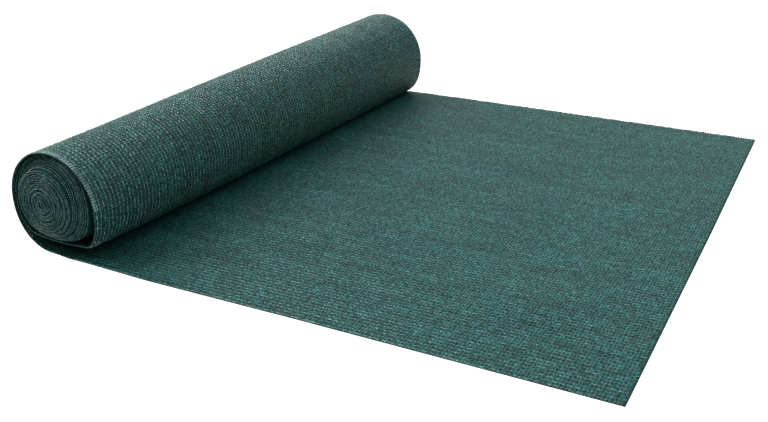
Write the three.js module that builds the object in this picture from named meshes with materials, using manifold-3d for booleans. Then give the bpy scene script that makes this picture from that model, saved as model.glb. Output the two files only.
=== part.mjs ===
// Roll of knitted privacy screen netting, partly unrolled. It is one length of cloth: a loosely
// wound roll that lies on its own free end, which runs out flat to a straight cut end.
// Millimetres, +Z up. X runs along the loose end, away from the roll. Y runs across the cloth,
// along the roll's axis. The near end of the roll faces -Y.

import * as THREE from "three";
import { mergeVertices } from "three/addons/utils/BufferGeometryUtils.js";
import Module from "manifold-3d";

// Driving sizes of the cloth and of the roll.
const CLOTH_WIDTH = 1000;
const CLOTH_THICKNESS = 2;
// Reach of the cut end from the roll's axis, at the near edge, in the middle and at the far edge.
const LOOSE_REACH = [806, 806.3, 803.5];
// Main turns that show at the roll's ends, and the spiral gap between them.
const END_TURN_COUNT = 8;
const GAP_WIDTH = 1.8;
const GAP_DEPTH = 7;
// Share of the wound radius where the spiral gap ends, near the middle of the roll.
const GAP_INNER_SHARE = 0.1;

// Clearance between the roll's underside and the bottom layer that it lies on.
const LAYER_CLEARANCE = 0.4;
// Rounding between the round of the roll and the flat where it presses on the surface below.
const SAG_ROUNDING = 7;
// The lower quarters of a soft roll are fuller than a circle. These are the powers of their
// curves, where 2 is a circle, away from the loose end and towards it, and the depth of the
// quarter towards it as a share of the radius.
const FULLNESS_AWAY = 2.25;
const FULLNESS_TOWARDS = 2.6;
const DEPTH_TOWARDS = 0.96;
// Turns, in degrees from the roll's lowest point, where the bottom layer and the wound turns part,
// and where the outer turn has gone once round and reaches the roll's underside.
const PARTING_TURN = 54;
const UNDERSIDE_TURN = 360;

// Mesh fineness.
const ACROSS_STEPS = 10;
const FLOOR_STEP = 67;
const TURN_STEP_DEG = 9;
const FACE_STEP_DEG = 15;
// Corners of one solid nearer than this are the same corner.
const MERGE_DISTANCE = 1e-4;
// Slivers smaller than this, left where two surfaces cross, are closed up.
const SMALLEST_EDGE = 0.05;
// How far the form of the slid turns runs past an end face on its +Y side.
const FACE_OVERLAP = 7;

// Sections of the roll, a row for each place across the cloth, from the near end to the far end.
// across: share of the width; radius: of the outer turn; axisX, axisZ: its centre;
// underside: height of the wound turns above the surface, which shows as an open wedge at the
// near end and closes to the bottom layer further along.
const ROLL_SECTIONS = [
  { across: 0.00, radius: 77.0, axisX: 4, axisZ: 77.0, underside: 22.0 },
  { across: 0.06, radius: 77.6, axisX: 4, axisZ: 77.1, underside: 15.0 },
  { across: 0.14, radius: 78.7, axisX: 4, axisZ: 77.2, underside: 6.0 },
  { across: 0.26, radius: 80.8, axisX: 3, axisZ: 77.3, underside: 0.0 },
  { across: 0.60, radius: 86.2, axisX: 1, axisZ: 77.6, underside: 0.0 },
  { across: 1.00, radius: 91.7, axisX: 0, axisZ: 77.0, underside: 0.0 },
];

// How the turns have slid along the axis, a row for each share of the wound radius. A turn
// stands out of the near end by its slide, and is sunk into the far end by as much.
const TELESCOPE = [
  { share: 0.02, slide: 15 },
  { share: 0.30, slide: 14 },
  { share: 0.62, slide: 11 },
  { share: 0.70, slide: 6 },
  { share: 0.93, slide: 2 },
];

// Low swells of the loose end where it doesn't lie quite flat, a row for each.
// x, across: centre; length, width: half sizes; height: how far the cloth stands off the surface.
const SWELLS = [
  { x: 250, across: 0.30, length: 110, width: 0.16, height: 1.8 },
  { x: 420, across: 0.72, length: 150, width: 0.14, height: 1.5 },
  { x: 640, across: 0.24, length: 120, width: 0.15, height: 1.4 },
];

// How far the two long edges wander from straight, a row for each place along the loose end.
const EDGE_WANDER = [
  { x: 60, near: 0, far: 0 },
  { x: 160, near: -3, far: 2 },
  { x: 400, near: 0, far: 0 },
  { x: 800, near: 1, far: -4 },
];

const CLOTH_COLOUR = "#2f5450";

// Value of a table's column at a given key, straight between rows and held beyond the ends.
function lookUp(table, key, column, at) {
  const last = table[table.length - 1];
  if (at <= table[0][key]) return table[0][column];
  if (at >= last[key]) return last[column];
  const above = table.findIndex((row) => row[key] >= at);
  const low = table[above - 1];
  const high = table[above];
  const share = (at - low[key]) / (high[key] - low[key]);
  return THREE.MathUtils.lerp(low[column], high[column], share);
}

function rollSection(across) {
  const section = {};
  for (const column of ["radius", "axisX", "axisZ", "underside"]) {
    section[column] = lookUp(ROLL_SECTIONS, "across", column, across);
  }
  section.underside = Math.max(section.underside, CLOTH_THICKNESS + LAYER_CLEARANCE);
  return section;
}

// Height kept at or above a level, with a soft round where the two meet.
function pressedFlat(height, level) {
  const over = height - level;
  if (over <= -SAG_ROUNDING) return level;
  if (over >= SAG_ROUNDING) return height;
  return level + (over + SAG_ROUNDING) ** 2 / (4 * SAG_ROUNDING);
}

// Point (x, z) on the outside of the roll. The turn is measured in degrees from the lowest point,
// up the side that faces away from the loose end, over the top and down the other side. level is
// the height of what the roll presses on.
function turnPoint(section, turnDeg, level) {
  const turn = THREE.MathUtils.degToRad(turnDeg);
  const sideways = Math.sin(turn);
  const down = Math.cos(turn);
  const isLower = down > 0;
  const towards = sideways < 0;
  const fullness = isLower ? (towards ? FULLNESS_TOWARDS : FULLNESS_AWAY) : 2;
  const depth = section.radius * (isLower && towards ? DEPTH_TOWARDS : 1);
  const reach = section.radius * Math.abs(sideways) ** (2 / fullness);
  const drop = depth * Math.abs(down) ** (2 / fullness);
  const x = section.axisX - reach * Math.sign(sideways);
  const z = section.axisZ - drop * Math.sign(down);
  return new THREE.Vector2(x, pressedFlat(z, level));
}

function swellHeight(x, across) {
  let height = 0;
  for (const swell of SWELLS) {
    const far = Math.hypot((x - swell.x) / swell.length, (across - swell.across) / swell.width);
    if (far < 1) height += swell.height * (1 + Math.cos(Math.PI * far)) / 2;
  }
  return height;
}

// Lower face of the loose end, from the cut end to below the roll's axis.
function looseEndPoints(section, across) {
  const [nearReach, middleReach, farReach] = LOOSE_REACH;
  const bow = middleReach - (nearReach + farReach) / 2;
  const straightReach = THREE.MathUtils.lerp(nearReach, farReach, across);
  const reach = straightReach + bow * Math.sin(Math.PI * across);
  const steps = Math.round(middleReach / FLOOR_STEP);
  const points = [];
  for (let k = 0; k < steps; k += 1) {
    const x = THREE.MathUtils.lerp(reach, section.axisX, k / steps);
    points.push(new THREE.Vector2(x, swellHeight(x, across)));
  }
  return points;
}

function turnPoints(section, firstTurn, lastTurn, level) {
  const points = [];
  for (let turn = firstTurn; turn <= lastTurn; turn += TURN_STEP_DEG) {
    points.push(turnPoint(section, turn, level));
  }
  return points;
}

// The inner face of a layer, from points on its outer face with inwards to the right of their way.
function innerFace(points) {
  return points.map((point, k) => {
    const before = points[Math.max(k - 1, 0)];
    const after = points[Math.min(k + 1, points.length - 1)];
    const way = after.clone().sub(before).normalize();
    const inwards = new THREE.Vector2(way.y, -way.x);
    return point.clone().addScaledVector(inwards, CLOTH_THICKNESS);
  });
}

// Outline of the netting in a plane across the roll's axis: along the lower face of the loose
// end, once round the roll, along the roll's underside to where it parts from the bottom layer,
// and back out over that layer.
function outline(across) {
  const section = rollSection(across);
  const floor = looseEndPoints(section, across);
  const rising = turnPoints(section, 0, PARTING_TURN, 0);
  const over = turnPoints(section, PARTING_TURN + TURN_STEP_DEG, 180, 0);
  const down = turnPoints(section, 180 + TURN_STEP_DEG, UNDERSIDE_TURN, section.underside);
  const layer = innerFace([...floor, ...rising, over[0]]).slice(0, -1);
  const parting = layer[layer.length - 1];
  const below = layer.slice(floor.length + 1, -1).map((point) => {
    const height = pressedFlat(point.y + LAYER_CLEARANCE, section.underside);
    return new THREE.Vector2(point.x, Math.max(height, point.y + LAYER_CLEARANCE));
  });
  const backOut = layer.slice(0, -1).reverse();
  return [...floor, ...rising, ...over, ...down, ...below, parting, ...backOut];
}

// Place across the cloth, in millimetres, of a share of its width at a point of the loose end.
function placeAcross(across, x) {
  const nearEdge = lookUp(EDGE_WANDER, "x", "near", x);
  const farEdge = CLOTH_WIDTH + lookUp(EDGE_WANDER, "x", "far", x);
  return THREE.MathUtils.lerp(nearEdge, farEdge, across);
}

// Closed mesh from rings of points, each ring with as many points as the next. capFaces gives
// the triangles that close a ring.
function loft(rings, capFaces) {
  const positions = [];
  const indices = [];
  const count = rings[0].length;
  for (const ring of rings) {
    for (const point of ring) positions.push(point.x, point.y, point.z);
  }
  for (let row = 0; row + 1 < rings.length; row += 1) {
    for (let k = 0; k < count; k += 1) {
      const a = row * count + k;
      const b = row * count + ((k + 1) % count);
      indices.push(a, b, b + count, a, b + count, a + count);
    }
  }
  const end = (rings.length - 1) * count;
  for (const [a, b, c] of capFaces(rings[0])) indices.push(a, c, b);
  for (const [a, b, c] of capFaces(rings[rings.length - 1])) indices.push(end + a, end + b, end + c);
  const geometry = new THREE.BufferGeometry();
  geometry.setAttribute("position", new THREE.Float32BufferAttribute(positions, 3));
  geometry.setIndex(indices);
  return geometry;
}

// Triangles of a ring that lies across the axis, turned the way the ring runs.
function outlineCap(ring) {
  const flat = ring.map((point) => new THREE.Vector2(point.x, point.z));
  const faces = THREE.ShapeUtils.triangulateShape(flat, []);
  const isReversed = THREE.ShapeUtils.isClockWise(flat);
  const [a, b, c] = faces[0].map((k) => flat[k]);
  const faceReversed = THREE.ShapeUtils.isClockWise([a, b, c]);
  return isReversed === faceReversed ? faces : faces.map(([p, q, r]) => [p, r, q]);
}

const QUAD_CAP = () => [[0, 1, 2], [0, 2, 3]];

// Signed volume of a closed mesh: positive when its faces point outwards.
function signedVolume(geometry) {
  const position = geometry.attributes.position;
  const corner = [new THREE.Vector3(), new THREE.Vector3(), new THREE.Vector3()];
  let volume = 0;
  for (let i = 0; i < geometry.index.count; i += 3) {
    corner.forEach((point, k) => point.fromBufferAttribute(position, geometry.index.getX(i + k)));
    volume += corner[0].dot(corner[1].clone().cross(corner[2])) / 6;
  }
  return volume;
}

const wasm = await Module();
wasm.setup();

function toSolid(geometry) {
  const merged = mergeVertices(geometry, MERGE_DISTANCE);
  const triVerts = Uint32Array.from(merged.index.array);
  if (signedVolume(merged) < 0) {
    for (let i = 0; i < triVerts.length; i += 3) {
      [triVerts[i], triVerts[i + 1]] = [triVerts[i + 1], triVerts[i]];
    }
  }
  const vertProperties = Float32Array.from(merged.attributes.position.array);
  return new wasm.Manifold(new wasm.Mesh({ numProp: 3, vertProperties, triVerts }));
}

function toGeometry(solid) {
  const mesh = solid.getMesh();
  const geometry = new THREE.BufferGeometry();
  geometry.setAttribute("position", new THREE.Float32BufferAttribute(mesh.vertProperties, 3));
  geometry.setIndex(Array.from(mesh.triVerts));
  geometry.computeVertexNormals();
  return geometry;
}

// The loose end, the outer turn and the roll within it, with plain end faces.
function clothBody() {
  const rings = [];
  for (let k = 0; k <= ACROSS_STEPS; k += 1) {
    const across = k / ACROSS_STEPS;
    rings.push(outline(across).map((point) =>
      new THREE.Vector3(point.x, placeAcross(across, point.x), point.y)));
  }
  return toSolid(loft(rings, outlineCap));
}

// Point of the wound turns at a share of their radius. The inner turns are round, and the outer
// ones take on the roll's pressed form.
function woundPoint(section, share, turnDeg, y) {
  const rim = turnPoint(section, turnDeg, section.underside);
  const turn = THREE.MathUtils.degToRad(turnDeg);
  const roundX = section.axisX - section.radius * Math.sin(turn);
  const roundZ = section.axisZ - section.radius * Math.cos(turn);
  const pressed = share ** 2;
  const outerX = THREE.MathUtils.lerp(roundX, rim.x, pressed);
  const outerZ = THREE.MathUtils.lerp(roundZ, rim.y, pressed);
  return new THREE.Vector3(
    THREE.MathUtils.lerp(section.axisX, outerX, share),
    y,
    THREE.MathUtils.lerp(section.axisZ, outerZ, share),
  );
}

// How far a turn has slid out of the near end. The outermost turns haven't slid.
function slideAt(share) {
  const outermost = TELESCOPE[TELESCOPE.length - 1];
  return share > outermost.share ? 0 : lookUp(TELESCOPE, "share", "slide", share);
}

// Stepped cone of the turns that have slid along the axis. The same form stands out of the near
// end and is cut out of the far end, so at both it starts on the +Y side of the end face.
function slidTurns(across) {
  const section = rollSection(across);
  const faceY = across * CLOTH_WIDTH;
  const rows = TELESCOPE.map((row) => ({ share: row.share, y: faceY - row.slide }));
  const base = { share: rows[rows.length - 1].share, y: faceY + FACE_OVERLAP };
  const rings = [];
  for (const row of [...rows, base]) {
    const ring = [];
    for (let turn = 0; turn < 360; turn += FACE_STEP_DEG) {
      ring.push(woundPoint(section, row.share, turn, row.y));
    }
    rings.push(ring);
  }
  return toSolid(loft(rings, outlineCap));
}

// Spiral gap between the turns where they end. It runs inwards from where the bottom layer parts
// from the roll, and follows the end face in and out. into is +1 where the cloth lies on the +Y
// side of the face and -1 where it lies on the other side.
function spiralGap(across, into) {
  const section = rollSection(across);
  const halfWidth = GAP_WIDTH / 2 / section.radius;
  const outerShare = 1 - CLOTH_THICKNESS / section.radius - halfWidth;
  const steps = Math.round((END_TURN_COUNT * 360) / FACE_STEP_DEG);
  const rings = [];
  for (let k = 0; k <= steps; k += 1) {
    const share = THREE.MathUtils.lerp(outerShare, GAP_INNER_SHARE, k / steps);
    const turn = PARTING_TURN + k * FACE_STEP_DEG;
    const faceY = across * CLOTH_WIDTH - slideAt(share);
    const mouthY = faceY - into * GAP_DEPTH;
    const floorY = faceY + into * GAP_DEPTH;
    rings.push([
      woundPoint(section, share - halfWidth, turn, mouthY),
      woundPoint(section, share + halfWidth, turn, mouthY),
      woundPoint(section, share + halfWidth, turn, floorY),
      woundPoint(section, share - halfWidth, turn, floorY),
    ]);
  }
  return toSolid(loft(rings, QUAD_CAP));
}

const netting = clothBody()
  .add(slidTurns(0))
  .subtract(slidTurns(1))
  .subtract(spiralGap(0, 1))
  .subtract(spiralGap(1, -1))
  .asOriginal()
  .simplify(SMALLEST_EDGE);

const material = new THREE.MeshStandardMaterial({
  color: CLOTH_COLOUR,
  roughness: 0.7,
  metalness: 0,
  side: THREE.DoubleSide,
});
const mesh = new THREE.Mesh(toGeometry(netting), material);
mesh.name = "screen_netting";

// The origin is on the surface that the netting lies on, below the middle of its box.
const group = new THREE.Group();
const box = new THREE.Box3().setFromBufferAttribute(mesh.geometry.attributes.position);
const middle = box.getCenter(new THREE.Vector3());
mesh.position.set(-middle.x, -middle.y, 0);
group.add(mesh);

export default group;
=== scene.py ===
"""Roll of knitted privacy screen netting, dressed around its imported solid.

One 10 m length of warp-knitted cloth, wound loosely into a roll that lies on its own loose end.
The cloth is one continuous sheet: the loose end, the outer turn and every fine turn of the roll.
Its chain stitches, the tapes laid in between them, the yarn of the two long edges, the selvedge
beside them and the stitches over the cut end are pieces on it. Sizes are in millimetres unless a
name or a comment says otherwise, and meshes are made in metres.
"""

from math import cos, pi, radians, sin, tau

import bpy
import numpy as np
from bpy.props import FloatProperty, FloatVectorProperty, PointerProperty
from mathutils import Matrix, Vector


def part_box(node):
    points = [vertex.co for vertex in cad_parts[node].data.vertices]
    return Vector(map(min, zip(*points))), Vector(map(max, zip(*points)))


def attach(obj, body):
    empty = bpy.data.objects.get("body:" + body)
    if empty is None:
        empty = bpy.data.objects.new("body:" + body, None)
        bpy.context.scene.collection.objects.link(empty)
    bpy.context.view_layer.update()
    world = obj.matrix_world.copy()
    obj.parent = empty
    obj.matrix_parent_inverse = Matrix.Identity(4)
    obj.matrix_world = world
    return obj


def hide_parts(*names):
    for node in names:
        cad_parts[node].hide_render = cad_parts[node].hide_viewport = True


bl_info = {
    "name": "Privacy screen netting roll",
    "version": (1, 0, 0),
    "blender": (4, 5, 0),
    "location": "View3D > Sidebar > Netting",
    "description": "Builds a partly unrolled roll of warp-knitted privacy screen netting",
    "category": "Object",
}

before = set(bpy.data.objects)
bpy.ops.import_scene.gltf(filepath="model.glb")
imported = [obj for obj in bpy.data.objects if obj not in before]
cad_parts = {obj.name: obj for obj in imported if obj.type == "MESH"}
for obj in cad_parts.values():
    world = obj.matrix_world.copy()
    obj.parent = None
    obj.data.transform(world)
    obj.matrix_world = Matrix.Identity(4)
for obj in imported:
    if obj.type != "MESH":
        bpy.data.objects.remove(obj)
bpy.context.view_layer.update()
NODE = "screen_netting"
BODY = "root"
MM = 0.001


def table(columns, *rows):
    """Named columns of a short table, each as an array."""
    return dict(zip(columns.split(), np.array(rows, float).T))


# Sections of the roll from its near end to its far end. across is the share of the cloth's
# width, and underside is how high the wound turns lie above the surface. Inside the outer turn
# the other turns are a bundle, which is looser, higher and rounder at the near end: slack is the
# share that it is smaller by, bundle_x and bundle_z are how far it lies off the axis, and
# press_power says how fast the pressed underside fades towards the middle.
ROLL = table(
    "across radius axis_x axis_z underside slack bundle_x bundle_z press_power",
    (0.00, 77.0, 4, 77.0, 22.0, 0.11, -4.0, 6.0, 6.0),
    (0.06, 77.6, 4, 77.1, 15.0, 0.08, -3.0, 4.3, 4.0),
    (0.14, 78.7, 4, 77.2, 6.0, 0.04, -1.5, 2.0, 2.0),
    (0.26, 80.8, 3, 77.3, 2.4, 0.00, 0.0, 0.0, 0.35),
    (0.60, 86.2, 1, 77.6, 2.4, 0.00, 0.0, 0.0, 0.35),
    (1.00, 91.7, 0, 77.0, 2.4, 0.00, 0.0, 0.0, 0.35),
)
# How far the cloth has gone over from the outer turn to the bundle, by its angle in degrees.
BUNDLE = table(
    "turn joined", (270, 0), (450, 0.5), (540, 0.75), (630, 0.9), (810, 1)
)
# How far the turns have slid along the axis, by their share of the wound radius.
TELESCOPE = table(
    "share slide",
    (0.02, 15),
    (0.40, 14),
    (0.70, 11),
    (0.75, 5),
    (0.93, -1),
    (0.98, -2),
    (1.00, 0),
)
# Reach of the cut end from the roll's axis, by the share of the width.
REACH = table("across reach", (0.0, 806.0), (0.5, 806.3), (1.0, 803.5))
# Low swells of the loose end: centre, half sizes and height.
SWELLS = table(
    "x across length width height",
    (250, 0.30, 110, 0.16, 1.8),
    (420, 0.72, 150, 0.14, 1.5),
    (640, 0.24, 120, 0.15, 1.4),
)
# How far the two long edges wander from straight along the loose end.
EDGE_WANDER = table(
    "x near far", (60, 0, 0), (160, -3, 2), (400, 0, 0), (800, 1, -4)
)
# The lower quarters of the roll are fuller than a circle: the powers of their curves, and the
# depth of the quarter that faces the loose end as a share of the radius.
FULLNESS_AWAY = 2.25
FULLNESS_TOWARDS = 2.6
DEPTH_TOWARDS = 0.96
# Height over which the pressed underside rounds into the sides.
SAG_ROUNDING = 7.0

# The bundle's outer turns lie this much deeper on top, at the angle and from the share given,
# and it deepens over HOLLOW_RAMP of the wound radius.
HOLLOW_DEPTH, HOLLOW_TURN, HOLLOW_SHARE, HOLLOW_RAMP = 7.0, 165.0, 0.72, 0.05
# The spiral starts to turn inwards here, in degrees from the roll's lowest point, and has come
# in by SPIRAL_START_TURNS of the spacing where the second turn is under way.
SPIRAL_FROM, SPIRAL_JOINED = 300.0, 385.0
SPIRAL_START_TURNS = 0.55
# The last turn lies at the first of these shares of the radius, and none at less than the other.
INNERMOST_SHARE, LEAST_SHARE = 0.03, 0.01
# The turns lie in groups, wound tighter and looser by this share, a group to so many turns.
GROUPING, GROUP_TURNS = 0.35, 3.3
# Small uneven slides of the turns' edges: size in mm and turns for each wave.
EDGE_WAVES = table(
    "size turns phase", (0.55, 2.7, 0.4), (0.40, 1.27, 2.1), (0.25, 0.23, 4.4)
)

# The inner turns' edges stray and lie hollow from the first angle on, and fully from the second.
LOOSENED_FROM, LOOSENED_TO = 360.0, 540.0
# Steps along the cloth with which its directions and its length are measured.
DIRECTION_STEP = 0.4
TURN_STEP_DEG = 1.5


def roll_section(across):
    """The roll's section at a share of the width, or at several."""
    return {
        name: np.interp(across, ROLL["across"], column)
        for name, column in ROLL.items()
    }


def pressed_flat(height, level):
    """Height kept at or above a level, with a soft round where the two meet."""
    over = height - level
    soft = level + (over + SAG_ROUNDING) ** 2 / (4 * SAG_ROUNDING)
    return np.where(
        over <= -SAG_ROUNDING, level, np.where(over >= SAG_ROUNDING, height, soft)
    )


def turn_point(section, turn, level):
    """Point on the outside of the roll. turn is in degrees from the lowest point, up the side
    away from the loose end, over the top and down the other side."""
    sideways, down = np.sin(np.radians(turn)), np.cos(np.radians(turn))
    towards = sideways < 0
    fullness = np.where(
        down > 0, np.where(towards, FULLNESS_TOWARDS, FULLNESS_AWAY), 2.0
    )
    depth = section["radius"] * np.where((down > 0) & towards, DEPTH_TOWARDS, 1.0)
    reach = section["radius"] * np.abs(sideways) ** (2 / fullness)
    drop = depth * np.abs(down) ** (2 / fullness)
    x = section["axis_x"] - reach * np.sign(sideways)
    z = section["axis_z"] - drop * np.sign(down)
    return x, pressed_flat(z, level)


class Cloth:
    """Where each point of the cloth lies. A point is given by its share of the width from the
    near edge and its distance along the cloth from the cut end, in millimetres."""

    def __init__(self, sizes):
        self.width = sizes.cloth_width / MM
        self.thickness = sizes.cloth_thickness / MM
        self.wale = sizes.wale_pitch / MM
        self.course = sizes.course_pitch / MM
        middle = roll_section(0.5)
        self.turn_share = sizes.turn_spacing / MM / middle["radius"]
        self.loose = np.interp(0.5, REACH["across"], REACH["reach"]) - middle["axis_x"]
        turns = (1 - INNERMOST_SHARE) / self.turn_share - SPIRAL_START_TURNS
        self.last_turn = SPIRAL_JOINED + 360 * turns
        self.turn_table = np.arange(0, self.last_turn, TURN_STEP_DEG)
        x, z = self.wound(0.5, self.turn_table)
        steps = np.hypot(np.diff(x), np.diff(z))
        self.along_table = self.loose + np.concatenate([[0], np.cumsum(steps)])
        self.length = self.along_table[-1]
        # The tables' places are moved so that the cut end and the turn that has slid furthest
        # meet the sides of the solid's box.
        near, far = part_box(NODE)
        reach = REACH["reach"].max()
        self.shift = np.array(
            [far.x / MM - reach, near.y / MM + TELESCOPE["slide"][0], 0]
        )

    def along_at(self, turns):
        """Distances along the cloth at which it has made so many degrees of turn."""
        return np.interp(turns, self.turn_table, self.along_table)

    def turned_in(self, turn):
        """How many spacings a turn lies inside the outer one."""
        ramp = np.clip(
            (turn - SPIRAL_FROM) / (SPIRAL_JOINED - SPIRAL_FROM), 0, 1
        )
        start = SPIRAL_START_TURNS * ramp * ramp * (3 - 2 * ramp)
        turns = start + np.maximum(turn - SPIRAL_JOINED, 0) / 360
        wave = tau / GROUP_TURNS
        return turns + GROUPING * np.sin(wave * turns) / wave

    def share(self, turn):
        """A turn's distance from the axis, as a share of the outer turn's."""
        return np.maximum(1 - self.turned_in(turn) * self.turn_share, LEAST_SHARE)

    def wound(self, across, turn):
        """Outer face of the wound cloth in the plane across the roll's axis."""
        section = roll_section(across)
        level = np.where(turn < 180, 0.0, section["underside"])
        joined = np.interp(turn, BUNDLE["turn"], BUNDLE["joined"])
        share = self.share(turn) * (1 - section["slack"] * joined)
        rim_x, rim_z = turn_point(section, turn, level)
        round_x = section["axis_x"] - section["radius"] * np.sin(np.radians(turn))
        round_z = section["axis_z"] - section["radius"] * np.cos(np.radians(turn))
        pressed = share ** section["press_power"]
        x = round_x + (rim_x - round_x) * pressed - section["axis_x"]
        z = round_z + (rim_z - round_z) * pressed - section["axis_z"]
        centre_x = section["axis_x"] + section["bundle_x"] * joined
        centre_z = section["axis_z"] + section["bundle_z"] * joined
        return centre_x + x * share, centre_z + z * share

    def outer_face(self, across, along):
        """Points of the face that is the roll's outside and the loose end's underside."""
        across, along = np.broadcast_arrays(across, along)
        axis_x = roll_section(across)["axis_x"]
        reach = np.interp(across, REACH["across"], REACH["reach"])
        loose_x = reach + (axis_x - reach) * np.minimum(along / self.loose, 1)
        loose_z = np.zeros_like(loose_x)
        for k in range(len(SWELLS["x"])):
            far = np.hypot(
                (loose_x - SWELLS["x"][k]) / SWELLS["length"][k],
                (across - SWELLS["across"][k]) / SWELLS["width"][k],
            )
            loose_z += SWELLS["height"][k] * (1 + np.cos(pi * np.minimum(far, 1))) / 2
        turn = np.interp(along, self.along_table, self.turn_table)
        wound_x, wound_z = self.wound(across, turn)
        is_loose = along < self.loose
        x = np.where(is_loose, loose_x, wound_x)
        z = np.where(is_loose, loose_z, wound_z)
        near = np.interp(x, EDGE_WANDER["x"], EDGE_WANDER["near"]) * is_loose
        far = np.interp(x, EDGE_WANDER["x"], EDGE_WANDER["far"]) * is_loose
        share = self.share(turn)
        slide = np.interp(share, TELESCOPE["share"], TELESCOPE["slide"])
        loosened = np.clip(
            (turn - LOOSENED_FROM) / (LOOSENED_TO - LOOSENED_FROM), 0, 1
        )
        for k in range(len(EDGE_WAVES["size"])):
            wave = tau * turn / 360 / EDGE_WAVES["turns"][k] + EDGE_WAVES["phase"][k]
            slide = slide + loosened * EDGE_WAVES["size"][k] * np.sin(wave)
        hollow = np.maximum(np.cos(np.radians(turn - HOLLOW_TURN)), 0) * loosened
        outer = np.clip((share - HOLLOW_SHARE) / HOLLOW_RAMP, 0, 1)
        slide = slide - HOLLOW_DEPTH * hollow * outer
        slide = np.where(turn > 0, slide, 0)
        y = near + (self.width + far - near) * across - slide
        return np.stack([x, y, z], axis=-1) + self.shift

    def directions(self, across, along):
        """Unit vectors along the cloth and out of its inner face."""
        ahead = self.outer_face(across, along + DIRECTION_STEP)
        behind = self.outer_face(across, np.maximum(along - DIRECTION_STEP, 0))
        step = DIRECTION_STEP / self.width
        far = self.outer_face(np.minimum(across + step, 1), along)
        near = self.outer_face(np.maximum(across - step, 0), along)
        lengthwise, crosswise = ahead - behind, far - near
        inwards = np.cross(crosswise, lengthwise)
        lengthwise /= np.linalg.norm(lengthwise, axis=-1, keepdims=True)
        inwards /= np.linalg.norm(inwards, axis=-1, keepdims=True)
        return lengthwise, inwards

    def place(self, across, along, into):
        """Points that lie so far into the cloth from its outer face, with their directions."""
        across, along = np.broadcast_arrays(
            np.asarray(across, float), np.asarray(along, float)
        )
        lengthwise, inwards = self.directions(across, along)
        points = self.outer_face(across, along) + into * inwards
        return points, lengthwise, inwards


def new_piece(name, vertices, faces, material, smooth=True):
    """Mesh object from arrays in millimetres, at the origin."""
    mesh = bpy.data.meshes.new(name)
    mesh.from_pydata((vertices * MM).tolist(), [], faces.tolist())
    mesh.materials.append(material)
    mesh.polygons.foreach_set("use_smooth", np.full(len(mesh.polygons), smooth))
    piece = bpy.data.objects.new(name, mesh)
    bpy.context.scene.collection.objects.link(piece)
    return piece


def store(mesh, name, kind, values):
    """Adds an attribute of the mesh's points."""
    attribute = mesh.attributes.new(name, kind, "POINT")
    key = "vector" if kind == "FLOAT_VECTOR" else "value"
    attribute.data.foreach_set(key, np.asarray(values, np.float32).ravel())


def grid_faces(rows, columns, first, flip):
    """Quads of a grid of points, row by row."""
    row, column = np.meshgrid(np.arange(rows - 1), np.arange(columns - 1), indexing="ij")
    corner = (first + row * columns + column).ravel()
    beside = corner + columns
    quads = np.stack([corner, corner + 1, beside + 1, beside], axis=1)
    return quads[:, ::-1] if flip else quads


def rim_faces(border, offset):
    """Quads that join the border of one face of the cloth to that of the other."""
    ahead = np.roll(border, -1)
    return np.stack([border, border + offset, ahead + offset, ahead], axis=1)


def linear(hex_colour):
    """Linear colour of an sRGB hex value."""
    channels = [int(hex_colour[k : k + 2], 16) / 255 for k in (1, 3, 5)]
    return tuple(
        c / 12.92 if c <= 0.04045 else ((c + 0.055) / 1.055) ** 2.4 for c in channels
    )


def add_node(tree, kind, inputs=None, **settings):
    """Adds a node. inputs gives each input's value or the socket that it is linked from."""
    node = tree.nodes.new(kind)
    for name, value in settings.items():
        setattr(node, name, value)
    for key, value in (inputs or {}).items():
        if isinstance(value, bpy.types.NodeSocket):
            tree.links.new(value, node.inputs[key])
        else:
            node.inputs[key].default_value = value
    return node


# Materials. All netting is high-density polyethylene, coloured in the mass: slit-film tape for
# the laid-in yarn and round monofilament for the chains. IOR 1.54 is polyethylene's.
POLYETHYLENE_IOR = 1.54
TAPE = "polyethylene_slit_film_tape"
CHAIN = "polyethylene_monofilament_chain"
EDGE = "polyethylene_edge_yarn"
RIM = "polyethylene_selvedge_painted_highlight"
GROUND = "knitted_polyethylene_ground_and_painted_shade"
# Attributes: the cloth's own coordinates in metres, and the shade of each stitch.
PLACE = "cloth_place"
SHADE = "stitch_shade"

# Marks that the yarn's uneven tension leaves: streaks about 9 mm wide and 250 mm long, patches
# 38 mm by 110 mm, and clumps of tighter and slacker stitches, 8 mm by 18 mm. The first numbers
# stretch the cloth's metres to the noise's units. Then follow the noise's detail, its usual range
# and the tones at the ends of that range.
TENSION_MARKS = (
    ((110.0, 4.0, 1.0), 2.0, (0.3, 0.7), (0.80, 1.18)),
    ((26.0, 9.0, 1.0), 2.0, (0.3, 0.7), (0.87, 1.13)),
    ((125.0, 55.0, 1.0), 1.0, (0.25, 0.75), (0.72, 1.28)),
)
# The hue wanders over about 110 mm.
HUE_SCALE = 9.0


def tone_of_cloth(tree):
    """Uneven tone of the cloth, from its own coordinates in metres: the product of the marks that
    the yarn's tension leaves. Returns the tone around 1 and the share of the second hue."""
    place = add_node(tree, "ShaderNodeAttribute", attribute_name=PLACE).outputs["Vector"]
    tone = 1.0
    for stretch, detail, usual, tones in TENSION_MARKS:
        stretched = add_node(
            tree, "ShaderNodeVectorMath", {0: place, 1: stretch}, operation="MULTIPLY"
        ).outputs[0]
        noise = add_node(
            tree, "ShaderNodeTexNoise", {"Vector": stretched, "Scale": 1.0, "Detail": detail}
        ).outputs["Fac"]
        marks = add_node(
            tree,
            "ShaderNodeMapRange",
            {"Value": noise, 1: usual[0], 2: usual[1], 3: tones[0], 4: tones[1]},
        ).outputs[0]
        tone = add_node(
            tree, "ShaderNodeMath", {0: tone, 1: marks}, operation="MULTIPLY"
        ).outputs[0]
    hue = add_node(
        tree, "ShaderNodeTexNoise", {"Vector": place, "Scale": HUE_SCALE, "Detail": 1.0}
    ).outputs["Fac"]
    return tone, hue


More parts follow.
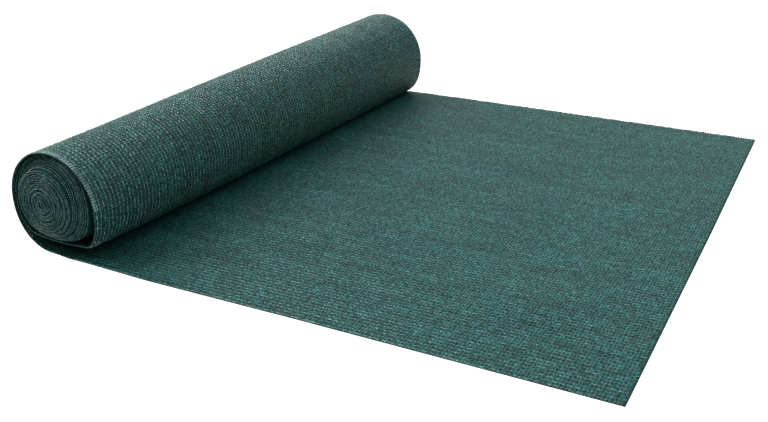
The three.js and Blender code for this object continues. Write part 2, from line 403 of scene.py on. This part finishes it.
def netting_shader(name, colour, second_colour, roughness, level, darkest):
    """Polyethylene yarn. colour and second_colour are its two near hues, level is how much of
    polyethylene's gloss the yarn has kept, and darkest is the tone of the dullest stitch where
    the brightest has 1. Returns the material and the socket of its toned colour."""
    material = bpy.data.materials.new(name)
    material.use_nodes = True
    tree = material.node_tree
    shader = tree.nodes["Principled BSDF"]
    shader.inputs["Roughness"].default_value = roughness
    shader.inputs["IOR"].default_value = POLYETHYLENE_IOR
    shader.inputs["Specular IOR Level"].default_value = level
    tone, hue = tone_of_cloth(tree)
    base = add_node(
        tree,
        "ShaderNodeMix",
        {"Factor": hue, "A": (*colour, 1), "B": (*second_colour, 1)},
        data_type="RGBA",
    ).outputs["Result"]
    shade = add_node(tree, "ShaderNodeAttribute", attribute_name=SHADE).outputs["Fac"]
    spread = add_node(
        tree, "ShaderNodeMapRange", {"Value": shade, 1: 0.0, 2: 1.0, 3: darkest, 4: 1.0}
    ).outputs[0]
    strength = add_node(
        tree, "ShaderNodeMath", {0: tone, 1: spread}, operation="MULTIPLY"
    ).outputs[0]
    toned = add_node(
        tree, "ShaderNodeVectorMath", {0: base, "Scale": strength}, operation="SCALE"
    ).outputs[0]
    tree.links.new(toned, shader.inputs["Base Color"])
    return material, toned


def tape_material(colours):
    """Slit-film polyethylene tape, drawn and knitted in flat: satin, with a soft sheen along it."""
    netting_shader(
        TAPE, colours.tape, colours.tape_second, roughness=0.45, level=0.25, darkest=0.50
    )


def chain_material(colours):
    """Round polyethylene monofilament, drawn: smoother than the tape, so each stitch glints. Its
    colour is lighter than the tape's, partly its own and partly a painted highlight for the glints.
    """
    netting_shader(
        CHAIN, colours.chain, colours.chain_second, roughness=0.30, level=0.80, darkest=0.22
    )


def edge_material(colours):
    """Thick polyethylene yarn of the knitted edges, fuzzier and duller than the chains."""
    netting_shader(
        EDGE, colours.edge, colours.edge_second, roughness=0.45, level=0.35, darkest=0.30
    )


def selvedge_highlight_material(colours):
    """Monofilament of the selvedge, knitted close and coloured as the lightest yarn: a painted
    highlight where light catches the roll's edge.
    """
    netting_shader(
        RIM, colours.rim, colours.rim_second, roughness=0.30, level=0.80, darkest=0.45
    )


# Tones of the ground where its laps sink and rise, a painted shade, and the height of a lap in
# metres.
GROUND_PAINTED_SHADE_TONES = (0.45, 1.25)
LAP_HEIGHT = 0.0003


def ground_material(colours, sizes):
    """The knitted ground below the raised stitches: laps of tape with painted shade in the gaps
    between them, darker where the laps sink. Its dark colour is partly the lower yarn and partly
    painted shade in the holes. Its pattern follows the cloth's own coordinates, a column of
    stitches every wale and a row every course."""
    material, toned = netting_shader(
        GROUND, colours.ground, colours.ground_second, roughness=0.8, level=0.10, darkest=1.0
    )
    tree = material.node_tree
    shader = tree.nodes["Principled BSDF"]
    place = add_node(tree, "ShaderNodeAttribute", attribute_name=PLACE).outputs["Vector"]
    parts = add_node(tree, "ShaderNodeSeparateXYZ", {0: place})
    wale = add_node(
        tree,
        "ShaderNodeMath",
        {0: parts.outputs[0], 1: tau / sizes.wale_pitch},
        operation="MULTIPLY",
    ).outputs[0]
    course = add_node(
        tree,
        "ShaderNodeMath",
        {0: parts.outputs[1], 1: tau / sizes.course_pitch},
        operation="MULTIPLY",
    ).outputs[0]
    column = add_node(tree, "ShaderNodeMath", {0: wale}, operation="COSINE").outputs[0]
    row = add_node(tree, "ShaderNodeMath", {0: course}, operation="COSINE").outputs[0]
    both = add_node(
        tree, "ShaderNodeMath", {0: column, 1: row}, operation="MULTIPLY"
    ).outputs[0]
    # Painted shade: the ground is darker where its laps sink, between the stitches.
    sunk, raised = GROUND_PAINTED_SHADE_TONES
    light = add_node(
        tree, "ShaderNodeMapRange", {"Value": both, 1: -1.0, 2: 1.0, 3: sunk, 4: raised}
    ).outputs[0]
    knitted = add_node(
        tree, "ShaderNodeVectorMath", {0: toned, "Scale": light}, operation="SCALE"
    ).outputs[0]
    tree.links.new(knitted, shader.inputs["Base Color"])
    bump = add_node(
        tree, "ShaderNodeBump", {"Height": both, "Strength": 0.5, "Distance": LAP_HEIGHT}
    ).outputs[0]
    tree.links.new(bump, shader.inputs["Normal"])


def instancing_tree(name, make_shape):
    """Geometry Nodes tree that sets one shape on each guide point, turned along the cloth, and
    returns them as one mesh. make_shape adds the shape's nodes and returns its socket."""
    tree = bpy.data.node_groups.new(name, "GeometryNodeTree")
    tree.interface.new_socket("Geometry", in_out="INPUT", socket_type="NodeSocketGeometry")
    for label, default in (("Length", 0.004), ("Width", 0.002), ("Height", 0.001)):
        socket = tree.interface.new_socket(
            label, in_out="INPUT", socket_type="NodeSocketFloat"
        )
        socket.subtype = "DISTANCE"
        socket.default_value = default
    for label, default in (("Slant", 0.0), ("Unevenness", 0.1)):
        socket = tree.interface.new_socket(
            label, in_out="INPUT", socket_type="NodeSocketFloat"
        )
        socket.default_value = default
    tree.interface.new_socket("Seed", in_out="INPUT", socket_type="NodeSocketInt")
    tree.interface.new_socket("Material", in_out="INPUT", socket_type="NodeSocketMaterial")
    tree.interface.new_socket("Geometry", in_out="OUTPUT", socket_type="NodeSocketGeometry")
    given = tree.nodes.new("NodeGroupInput").outputs
    vectors = {
        name: add_node(
            tree, "GeometryNodeInputNamedAttribute", {"Name": name}, data_type="FLOAT_VECTOR"
        ).outputs[0]
        for name in ("lengthwise", "upwards")
    }
    leaning = add_node(
        tree, "GeometryNodeInputNamedAttribute", {"Name": "leaning"}, data_type="FLOAT"
    ).outputs[0]
    along = add_node(
        tree, "FunctionNodeAlignRotationToVector", {"Vector": vectors["lengthwise"]}, axis="X"
    ).outputs[0]
    upright = add_node(
        tree,
        "FunctionNodeAlignRotationToVector",
        {"Rotation": along, "Vector": vectors["upwards"]},
        axis="Z",
        pivot_axis="X",
    ).outputs[0]
    lean = add_node(
        tree, "ShaderNodeMath", {0: leaning, 1: given["Slant"]}, operation="MULTIPLY"
    ).outputs[0]
    leant = add_node(tree, "ShaderNodeCombineXYZ", {"Z": lean}).outputs[0]
    turned = add_node(
        tree,
        "FunctionNodeRotateRotation",
        {"Rotation": upright, "Rotate By": leant},
        rotation_space="LOCAL",
    ).outputs[0]
    least = add_node(
        tree, "ShaderNodeMath", {0: 1.0, 1: given["Unevenness"]}, operation="SUBTRACT"
    ).outputs[0]
    most = add_node(
        tree, "ShaderNodeMath", {0: 1.0, 1: given["Unevenness"]}, operation="ADD"
    ).outputs[0]
    spread = add_node(
        tree, "FunctionNodeRandomValue", {2: least, 3: most, "Seed": given["Seed"]}
    ).outputs[1]
    size = add_node(
        tree,
        "ShaderNodeCombineXYZ",
        {0: given["Length"], 1: given["Width"], 2: given["Height"]},
    ).outputs[0]
    scale = add_node(
        tree, "ShaderNodeVectorMath", {0: size, "Scale": spread}, operation="SCALE"
    ).outputs[0]
    placed = add_node(
        tree,
        "GeometryNodeInstanceOnPoints",
        {
            "Points": given["Geometry"],
            "Instance": make_shape(tree),
            "Rotation": turned,
            "Scale": scale,
        },
    ).outputs[0]
    next_seed = add_node(
        tree, "ShaderNodeMath", {0: given["Seed"], 1: 1.0}, operation="ADD"
    ).outputs[0]
    shade = add_node(tree, "FunctionNodeRandomValue", {"Seed": next_seed}).outputs[1]
    shaded = add_node(
        tree,
        "GeometryNodeStoreNamedAttribute",
        {"Geometry": placed, "Name": SHADE, "Value": shade},
        data_type="FLOAT",
        domain="INSTANCE",
    ).outputs[0]
    whole = add_node(tree, "GeometryNodeRealizeInstances", {0: shaded}).outputs[0]
    finished = add_node(
        tree, "GeometryNodeSetMaterial", {"Geometry": whole, "Material": given["Material"]}
    ).outputs[0]
    add_node(tree, "NodeGroupOutput", {0: finished})
    return tree


def stitch_shape(tree):
    """A plump stitch one unit long, wide and high, with eight faces."""
    return add_node(
        tree, "GeometryNodeMeshUVSphere", {"Segments": 4, "Rings": 2, "Radius": 0.5}
    ).outputs["Mesh"]


def tape_shape(tree):
    """A flat tape one unit long and wide, bowed up along its middle by one unit of height."""
    flat = add_node(
        tree,
        "GeometryNodeMeshGrid",
        {"Size X": 1.0, "Size Y": 1.0, "Vertices X": 2, "Vertices Y": 3},
    ).outputs["Mesh"]
    position = add_node(tree, "GeometryNodeInputPosition").outputs[0]
    parts = add_node(tree, "ShaderNodeSeparateXYZ", {0: position})
    edge = add_node(
        tree, "ShaderNodeMath", {0: parts.outputs[1]}, operation="ABSOLUTE"
    ).outputs[0]
    drop = add_node(
        tree, "ShaderNodeMath", {0: edge, 1: -2.0}, operation="MULTIPLY"
    ).outputs[0]
    offset = add_node(tree, "ShaderNodeCombineXYZ", {"Z": drop}).outputs[0]
    return add_node(
        tree, "GeometryNodeSetPosition", {"Geometry": flat, "Offset": offset}
    ).outputs[0]


def set_stitches(name, tree, guides, material, **sizes):
    """Plain mesh of the shapes that a tree sets on guide points. guides holds the points, the
    directions along and out of the cloth, the cloth's own coordinates and how each leans. sizes
    are the tree's inputs: Length, Width and Height in metres, the Slant of a shape that leans in
    radians, the Unevenness as a share of the size, and the Seed of that unevenness."""
    mesh = bpy.data.meshes.new(name)
    mesh.from_pydata((guides["points"] * MM).tolist(), [], [])
    store(mesh, "lengthwise", "FLOAT_VECTOR", guides["lengthwise"])
    store(mesh, "upwards", "FLOAT_VECTOR", guides["upwards"])
    store(mesh, "leaning", "FLOAT", guides["leaning"])
    store(mesh, PLACE, "FLOAT_VECTOR", guides["place"] * MM)
    carrier = bpy.data.objects.new(name + "_guides", mesh)
    bpy.context.scene.collection.objects.link(carrier)
    modifier = carrier.modifiers.new(name, "NODES")
    modifier.node_group = tree
    values = {"Material": material, **sizes}
    for item in tree.interface.items_tree:
        if item.in_out == "INPUT" and item.name in values:
            modifier[item.identifier] = values[item.name]
    evaluated = carrier.evaluated_get(bpy.context.evaluated_depsgraph_get())
    made = bpy.data.meshes.new_from_object(evaluated)
    carrier.modifiers.remove(modifier)
    bpy.data.objects.remove(carrier)
    for attribute in ("lengthwise", "upwards", "leaning"):
        made.attributes.remove(made.attributes[attribute])
    piece = bpy.data.objects.new(name, made)
    bpy.context.scene.collection.objects.link(piece)
    finish_piece(piece)


def finish_piece(piece):
    """Puts a piece on the part's body."""
    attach(piece, BODY)


# Seed of how far stitches and tapes stray from their even places.
SCATTER_SEED = 5


def guide_points(
    cloth, across, along, into, face, turned=False, leaning=None, scatter=None, clear=0.0
):
    """Guide points on the cloth. face is -1 on the roll's outside and 1 on its inside, turned
    sets the shape across the cloth, scatter is how far points stray across and along it, and
    clear is how far they stay above the surface that the cloth lies on."""
    count = len(along)
    if scatter:
        stray = np.random.default_rng(SCATTER_SEED).uniform(-1, 1, (2, count))
        across = across + stray[0] * scatter[0] / cloth.width
        along = along + stray[1] * scatter[1]
    points, lengthwise, inwards = cloth.place(across, along, into)
    points[:, 2] = np.maximum(points[:, 2], clear)
    crosswise = np.cross(inwards, lengthwise)
    place = np.stack([across * cloth.width, along, np.zeros(count)], axis=-1)
    return {
        "points": points,
        "lengthwise": crosswise if turned else lengthwise,
        "upwards": inwards * face,
        "leaning": np.zeros(count) if leaning is None else leaning,
        "place": place,
    }


# The rest of the script is the add-on: its properties, operators and panel.


class NettingSizes(bpy.types.PropertyGroup):
    """Sizes of the cloth and its knit, in metres."""

    cloth_width: FloatProperty(
        name="Cloth width", description="Width between the two knitted edges",
        default=1.0, min=0.1, unit="LENGTH",
    )
    cloth_thickness: FloatProperty(
        name="Cloth thickness", description="Thickness of the ground below the raised stitches",
        default=0.0008, min=0.0002, unit="LENGTH",
    )
    turn_spacing: FloatProperty(
        name="Turn spacing", description="Distance from one turn of the roll to the next",
        default=0.00253, min=0.001, unit="LENGTH",
    )
    wale_pitch: FloatProperty(
        name="Wale pitch", description="Distance between the columns of chain stitches",
        default=1.0 / 135, min=0.001, unit="LENGTH",
    )
    course_pitch: FloatProperty(
        name="Course pitch", description="Length of one stitch along its column",
        default=0.0044, min=0.001, unit="LENGTH",
    )


class NettingColours(bpy.types.PropertyGroup):
    """Colours of the netting and of the floor."""

    tape: FloatVectorProperty(
        name="Tape", description="Colour of the laid-in tape", subtype="COLOR", size=3,
        default=linear("#225858"), min=0, max=1,
    )
    tape_second: FloatVectorProperty(
        name="Tape, second hue", description="Hue that the tape's colour wanders to",
        subtype="COLOR", size=3, default=linear("#2c5850"), min=0, max=1,
    )
    # The chain is lighter than the tape: partly its own colour, partly a painted highlight for the
    # stitches' glints.
    chain: FloatVectorProperty(
        name="Chain", description="Colour of the chain stitches", subtype="COLOR", size=3,
        default=linear("#487d7e"), min=0, max=1,
    )
    chain_second: FloatVectorProperty(
        name="Chain, second hue", description="Hue that the chain's colour wanders to",
        subtype="COLOR", size=3, default=linear("#557d75"), min=0, max=1,
    )
    # The ground is darker than the tape: partly the lower yarn, partly painted shade in the holes
    # between the stitches.
    ground: FloatVectorProperty(
        name="Ground", description="Colour of the knitted ground", subtype="COLOR", size=3,
        default=linear("#184343"), min=0, max=1,
    )
    ground_second: FloatVectorProperty(
        name="Ground, second hue", description="Hue that the ground's colour wanders to",
        subtype="COLOR", size=3, default=linear("#1f433e"), min=0, max=1,
    )
    edge: FloatVectorProperty(
        name="Edge yarn", description="Colour of the yarn that the long edges are knitted with",
        subtype="COLOR", size=3, default=linear("#356567"), min=0, max=1,
    )
    edge_second: FloatVectorProperty(
        name="Edge yarn, second hue", description="Hue that the edge yarn's colour wanders to",
        subtype="COLOR", size=3, default=linear("#3b655e"), min=0, max=1,
    )
    # The selvedge's light colour is a painted highlight along the roll's lit edge.
    rim: FloatVectorProperty(
        name="Selvedge", description="Colour of the close-knitted strip along the long edges",
        subtype="COLOR", size=3, default=linear("#5c8c8d"), min=0, max=1,
    )
    rim_second: FloatVectorProperty(
        name="Selvedge, second hue", description="Hue that the selvedge's colour wanders to",
        subtype="COLOR", size=3, default=linear("#6b8e88"), min=0, max=1,
    )
    floor: FloatVectorProperty(
        name="Floor", description="Colour of the floor", subtype="COLOR", size=3,
        default=linear("#555555"), min=0, max=1,
    )


class NettingStage(bpy.types.PropertyGroup):
    """Light and camera."""

    key: FloatProperty(
        name="Key light", description="Strength of the wide soft light from beyond the roll",
        default=2.75, min=0,
    )
    overhead: FloatProperty(
        name="Overhead light", description="Strength of the surroundings straight above",
        default=1.28, min=0,
    )
    level: FloatProperty(
        name="Level light", description="Strength of the surroundings at the horizon",
        default=0.30, min=0,
    )
    glow: FloatProperty(
        name="Floor light", description="Light that comes through the back-lit floor",
        default=0.97, min=0,
    )
    lens: FloatProperty(
        name="Lens", description="Focal length of the camera, in millimetres", default=44.37,
        min=1, subtype="DISTANCE_CAMERA",
    )


def netting_material(scene, name):
    """One of the netting's materials, all of which are made when the first is asked for."""
    if name not in bpy.data.materials:
        tape_material(scene.netting_colours)
        chain_material(scene.netting_colours)
        edge_material(scene.netting_colours)
        selvedge_highlight_material(scene.netting_colours)
        ground_material(scene.netting_colours, scene.netting_sizes)
    return bpy.data.materials[name]


# Where the sheet has points. Across it: these shares of the width near each edge, and so many
# even places between. Along it: steps on the loose end, on the outer two turns and further in.
ACROSS_EDGE = np.array([0, 0.002, 0.006, 0.012, 0.02, 0.035])
ACROSS_INNER = 28
LOOSE_STEP = 16.0
OUTER_STEP_DEG, INNER_STEP_DEG, OUTER_UNTIL = 6, 12, 720
# Faces that meet at more than this angle have a sharp edge between them.
SHARP_FROM = radians(50)


class NETTING_OT_cloth(bpy.types.Operator):
    """Build the cloth: loose end, outer turn and all fine turns of the roll, as one sheet"""

    bl_idname = "netting.cloth"
    bl_label = "Knitted cloth"

    def execute(self, context):
        cloth = Cloth(context.scene.netting_sizes)
        inner = np.linspace(ACROSS_EDGE[-1], 1 - ACROSS_EDGE[-1], ACROSS_INNER)[1:-1]
        across = np.concatenate([ACROSS_EDGE, inner, 1 - ACROSS_EDGE[::-1]])
        loose = np.linspace(0, cloth.loose, round(cloth.loose / LOOSE_STEP) + 1)[:-1]
        turns = np.concatenate(
            [
                np.arange(0, OUTER_UNTIL, OUTER_STEP_DEG),
                np.arange(OUTER_UNTIL, cloth.last_turn, INNER_STEP_DEG),
            ]
        )
        along = np.concatenate([loose, cloth.along_at(turns)])
        along, across = np.meshgrid(along, across, indexing="ij")
        outer, _, _ = cloth.place(across, along, 0.0)
        inner_face, _, _ = cloth.place(across, along, cloth.thickness)
        rows, columns = along.shape
        offset = rows * columns
        index = np.arange(offset).reshape(rows, columns)
        border = np.concatenate(
            [index[0, :-1], index[:-1, -1], index[-1, :0:-1], index[:0:-1, 0]]
        )
        faces = np.concatenate(
            [
                grid_faces(rows, columns, 0, True),
                grid_faces(rows, columns, offset, False),
                rim_faces(border, offset),
            ]
        )
        points = np.concatenate([outer.reshape(-1, 3), inner_face.reshape(-1, 3)])
        piece = new_piece("netting_cloth", points, faces, netting_material(context.scene, GROUND))
        place = np.stack([across * cloth.width, along, np.zeros_like(along)], axis=-1)
        place = place.reshape(-1, 3)
        store(piece.data, PLACE, "FLOAT_VECTOR", np.concatenate([place, place]) * MM)
        store(piece.data, SHADE, "FLOAT", np.ones(len(points)))
        piece.data.set_sharp_from_angle(angle=SHARP_FROM)
        finish_piece(piece)
        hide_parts(NODE)
        return {"FINISHED"}


def knit_grid(cloth, first, last, offset=0.5):
    """Places of the stitches between two distances along the cloth, row by row, with -1 or 1 for
    the rows in turn. An offset of 0.5 is on the columns, and 1.0 is between them, where none lies
    on the far edge itself."""
    columns = round(cloth.width / cloth.wale)
    across = (np.arange(columns) + offset) / columns
    across = across[across < 1]
    rows = np.arange(np.ceil(first / cloth.course), np.floor(last / cloth.course))
    along, across = np.meshgrid(rows * cloth.course, across, indexing="ij")
    parity = np.broadcast_to((rows % 2 * 2 - 1)[:, None], along.shape)
    return across.ravel(), along.ravel(), parity.ravel()


# Where raised stitches start and end: distance from the cut end, how far they run in below the
# roll, and the turns of the roll's outside that can be seen, in degrees.
CUT_MARGIN, TAPES_FROM = 8.0, 3.0
BELOW_ROLL = 20.0
OUTSIDE_TURNS = (5.0, 352.0)

# How far stitches and tapes stray from their even places across and along, in millimetres.
CHAIN_SCATTER = (0.6, 1.1)
TAPE_SCATTER = (0.5, 0.9)
# How far the bowed middle of a tape lies off the ground's face, and how far the middles of the
# long edges' and the over-edge stitches lie in from the outer face.
TAPE_LIFT = 0.25
SELVEDGE_INTO, OVER_EDGE_INTO = 1.1, 1.0
# Least heights of the middles of stitches and tapes on the roll and the long edges, so that none
# reaches below the surface that the cloth lies on.
CHAIN_CLEAR, TAPE_CLEAR, SELVEDGE_CLEAR, RIM_CLEAR = 1.7, 0.4, 1.4, 1.5


class NETTING_OT_chain_stitches(bpy.types.Operator):
    """Set the chain stitches on the loose end and on the outside of the roll"""

    bl_idname = "netting.chain_stitches"
    bl_label = "Chain stitches"

    def execute(self, context):
        cloth = Cloth(context.scene.netting_sizes)
        material = netting_material(context.scene, CHAIN)
        tree = instancing_tree("netting_chain_stitch", stitch_shape)
        across, along, _ = knit_grid(cloth, CUT_MARGIN, cloth.loose - BELOW_ROLL)
        guides = guide_points(
            cloth, across, along, cloth.thickness, 1, scatter=CHAIN_SCATTER
        )
        set_stitches(
            "loose_end_chain_stitches", tree, guides, material,
            Length=0.0052, Width=0.0026, Height=0.0008, Unevenness=0.25, Seed=7,
        )
        across, along, _ = knit_grid(cloth, *cloth.along_at(OUTSIDE_TURNS))
        guides = guide_points(
            cloth, across, along, 0.0, -1, scatter=CHAIN_SCATTER, clear=CHAIN_CLEAR
        )
        set_stitches(
            "roll_chain_stitches", tree, guides, material,
            Length=0.0042, Width=0.0028, Height=0.0026, Unevenness=0.3, Seed=11,
        )
        return {"FINISHED"}


class NETTING_OT_laid_in_tapes(bpy.types.Operator):
    """Lay the tapes between the columns of stitches, leaning one way and the other in turn"""

    bl_idname = "netting.laid_in_tapes"
    bl_label = "Laid-in tapes"

    def execute(self, context):
        cloth = Cloth(context.scene.netting_sizes)
        material = netting_material(context.scene, TAPE)
        tree = instancing_tree("netting_laid_in_tape", tape_shape)
        across, along, parity = knit_grid(
            cloth, TAPES_FROM, cloth.loose - BELOW_ROLL, offset=1.0
        )
        guides = guide_points(
            cloth, across, along, cloth.thickness + TAPE_LIFT, 1,
            turned=True, leaning=parity, scatter=TAPE_SCATTER,
        )
        set_stitches(
            "loose_end_laid_in_tapes", tree, guides, material,
            Length=0.0080, Width=0.0036, Height=0.00030, Slant=radians(17),
            Unevenness=0.06, Seed=23,
        )
        across, along, parity = knit_grid(cloth, *cloth.along_at(OUTSIDE_TURNS), offset=1.0)
        guides = guide_points(
            cloth, across, along, -TAPE_LIFT, -1,
            turned=True, leaning=parity, scatter=TAPE_SCATTER, clear=TAPE_CLEAR,
        )
        set_stitches(
            "roll_laid_in_tapes", tree, guides, material,
            Length=0.0080, Width=0.0032, Height=0.00030, Slant=radians(17),
            Unevenness=0.06, Seed=29,
        )
        return {"FINISHED"}


# The selvedge is knitted close: on the outer turn its columns lie at these distances from the edge,
# in millimetres, and they are raised between these angles, on the side where light catches the
# edge. Their light colour is a painted highlight.
RIM_COLUMNS = (0.9, 2.7, 4.5, 6.3)
RIM_TURNS = (40.0, 266.0)


class NETTING_OT_edge_stitches(bpy.types.Operator):
    """Bind the two long edges with their chains, and the cut end with over-edge stitches"""

    bl_idname = "netting.edge_stitches"
    bl_label = "Edge stitches"

    def execute(self, context):
        cloth = Cloth(context.scene.netting_sizes)
        edge_yarn = netting_material(context.scene, EDGE)
        selvedge_highlight_yarn = netting_material(context.scene, RIM)
        chain_yarn = netting_material(context.scene, CHAIN)
        tree = instancing_tree("netting_edge_stitch", stitch_shape)
        rows = np.arange(1, np.floor(cloth.length / cloth.course)) * cloth.course
        for name, edge in (("near", 0.0), ("far", 1.0)):
            across = np.full_like(rows, edge)
            guides = guide_points(
                cloth, across, rows, SELVEDGE_INTO, -1, clear=SELVEDGE_CLEAR
            )
            set_stitches(
                f"{name}_selvedge_stitches", tree, guides, edge_yarn,
                Length=0.0046, Width=0.0020, Height=0.0021, Unevenness=0.3, Seed=31,
            )
        # Stitches of the selvedge, coloured lighter as a painted highlight on the roll's lit side.
        start, end = cloth.along_at(RIM_TURNS)
        rows = np.arange(np.ceil(start / cloth.course), end / cloth.course) * cloth.course
        for name, side in (("near", 0.0), ("far", cloth.width)):
            inset = np.abs(side - np.array(RIM_COLUMNS)) / cloth.width
            across, along = (each.ravel() for each in np.meshgrid(inset, rows))
            guides = guide_points(cloth, across, along, 0.0, -1, clear=RIM_CLEAR)
            set_stitches(
                f"{name}_rim_stitches", tree, guides, selvedge_highlight_yarn,
                Length=0.0048, Width=0.0022, Height=0.0024, Unevenness=0.2, Seed=37,
            )
        count = round(cloth.width / cloth.wale)
        across = (np.arange(count) + 0.5) / count
        along = np.full_like(across, CUT_MARGIN / 2)
        guides = guide_points(
            cloth, across, along, OVER_EDGE_INTO, 1, leaning=np.ones(count)
        )
        set_stitches(
            "cut_end_over_edge_stitches", tree, guides, chain_yarn,
            Length=0.0090, Width=0.0014, Height=0.0018, Slant=radians(30),
            Unevenness=0.08, Seed=41,
        )
        return {"FINISHED"}


# Camera of the photograph, in metres: it was solved from the cloth's straight edges.
CAMERA_TARGET = Vector((-0.0234, -0.1353, 0.0))
CAMERA_AZIMUTH, CAMERA_ELEVATION = radians(27.47), radians(22.74)
CAMERA_DISTANCE = 1.490
# The key light shines from here towards the middle, from above the side of the roll that faces
# away from the loose end. The place is in metres, and the light's width in degrees.
KEY_FROM = Vector((-0.80, -0.05, 0.57))
KEY_SPREAD = 60
# The floor's size and level, in metres. It is a back-lit white acrylic sheet, which lets most
# light through, so it scatters little of what falls on it and shows no grey shadow.
FLOOR_SIZE = 40.0
FLOOR_LEVEL = -0.0003
FLOOR_ROUGHNESS = 0.9


def aim(item, place, target):
    """Puts a camera or a lamp somewhere and points it at a target."""
    item.location = place
    item.rotation_euler = (target - place).to_track_quat("-Z", "Y").to_euler()


class NETTING_OT_stage(bpy.types.Operator):
    """Set the floor, the soft light and the camera"""

    bl_idname = "netting.stage"
    bl_label = "Floor, light and camera"

    def execute(self, context):
        scene = context.scene
        stage, colours = scene.netting_stage, scene.netting_colours
        signs = np.array([(-1, -1), (1, -1), (1, 1), (-1, 1)])
        corners = np.full((4, 3), FLOOR_LEVEL / MM)
        corners[:, :2] = signs * FLOOR_SIZE / 2 / MM
        paint = bpy.data.materials.new("back_lit_white_acrylic")
        paint.use_nodes = True
        shader = paint.node_tree.nodes["Principled BSDF"]
        shader.inputs["Base Color"].default_value = (*colours.floor, 1)
        shader.inputs["Roughness"].default_value = FLOOR_ROUGHNESS
        shader.inputs["Emission Color"].default_value = (1, 1, 1, 1)
        shader.inputs["Emission Strength"].default_value = stage.glow
        floor = new_piece("floor", corners, np.array([[0, 1, 2, 3]]), paint)

        world = bpy.data.worlds.new("soft_white_surroundings")
        world.use_nodes = True
        background = world.node_tree.nodes["Background"]
        background.inputs["Color"].default_value = (1, 1, 1, 1)
        towards = add_node(world.node_tree, "ShaderNodeTexCoord").outputs["Generated"]
        height = add_node(world.node_tree, "ShaderNodeSeparateXYZ", {0: towards}).outputs[2]
        light = add_node(
            world.node_tree,
            "ShaderNodeMapRange",
            {"Value": height, 1: 0.0, 2: 1.0, 3: stage.level, 4: stage.overhead},
        ).outputs[0]
        world.node_tree.links.new(light, background.inputs["Strength"])
        scene.world = world

        lamp = bpy.data.lights.new("wide_soft_key", "SUN")
        lamp.angle = radians(KEY_SPREAD)
        lamp.energy = stage.key
        key = bpy.data.objects.new("wide_soft_key", lamp)
        scene.collection.objects.link(key)
        aim(key, KEY_FROM, Vector((0.0, 0.0, 0.0)))

        camera = bpy.data.cameras.new("camera")
        camera.sensor_width = 36
        camera.lens = stage.lens
        camera_object = bpy.data.objects.new("camera", camera)
        scene.collection.objects.link(camera_object)
        away = Vector(
            (
                sin(CAMERA_AZIMUTH) * cos(CAMERA_ELEVATION),
                -cos(CAMERA_AZIMUTH) * cos(CAMERA_ELEVATION),
                sin(CAMERA_ELEVATION),
            )
        )
        aim(camera_object, CAMERA_TARGET + away * CAMERA_DISTANCE, CAMERA_TARGET)
        scene.camera = camera_object
        # The netting's shaded gaps are deep and saturated beside a clean white.
        scene.view_settings.view_transform = "Standard"
        scene.view_settings.look = "Medium High Contrast"
        return {"FINISHED"}


class NETTING_OT_declare(bpy.types.Operator):
    bl_idname = "netting.declare"
    bl_label = "Cut size"

    def execute(self, context):
        return {"FINISHED"}


class NETTING_PT_panel(bpy.types.Panel):
    """Netting panel in the 3D view's sidebar"""

    bl_idname = "NETTING_PT_panel"
    bl_label = "Privacy screen netting"
    bl_space_type = "VIEW_3D"
    bl_region_type = "UI"
    bl_category = "Netting"

    def draw(self, context):
        layout = self.layout
        for group in (
            context.scene.netting_sizes,
            context.scene.netting_colours,
            context.scene.netting_stage,
        ):
            for name in group.__annotations__:
                layout.prop(group, name)
        for operator in OPERATORS:
            layout.operator(operator.bl_idname)


OPERATORS = (
    NETTING_OT_cloth,
    NETTING_OT_laid_in_tapes,
    NETTING_OT_chain_stitches,
    NETTING_OT_edge_stitches,
    NETTING_OT_declare,
    NETTING_OT_stage,
)
CLASSES = (NettingSizes, NettingColours, NettingStage, *OPERATORS, NETTING_PT_panel)


def register():
    for each in CLASSES:
        bpy.utils.register_class(each)
    bpy.types.Scene.netting_sizes = PointerProperty(type=NettingSizes)
    bpy.types.Scene.netting_colours = PointerProperty(type=NettingColours)
    bpy.types.Scene.netting_stage = PointerProperty(type=NettingStage)


def unregister():
    del bpy.types.Scene.netting_stage
    del bpy.types.Scene.netting_colours
    del bpy.types.Scene.netting_sizes
    for each in reversed(CLASSES):
        bpy.utils.unregister_class(each)


def main():
    register()
    bpy.ops.netting.cloth()
    bpy.ops.netting.laid_in_tapes()
    bpy.ops.netting.chain_stitches()
    bpy.ops.netting.edge_stitches()
    bpy.ops.netting.declare()
    bpy.ops.netting.stage()


if __name__ == "__main__":
    main()
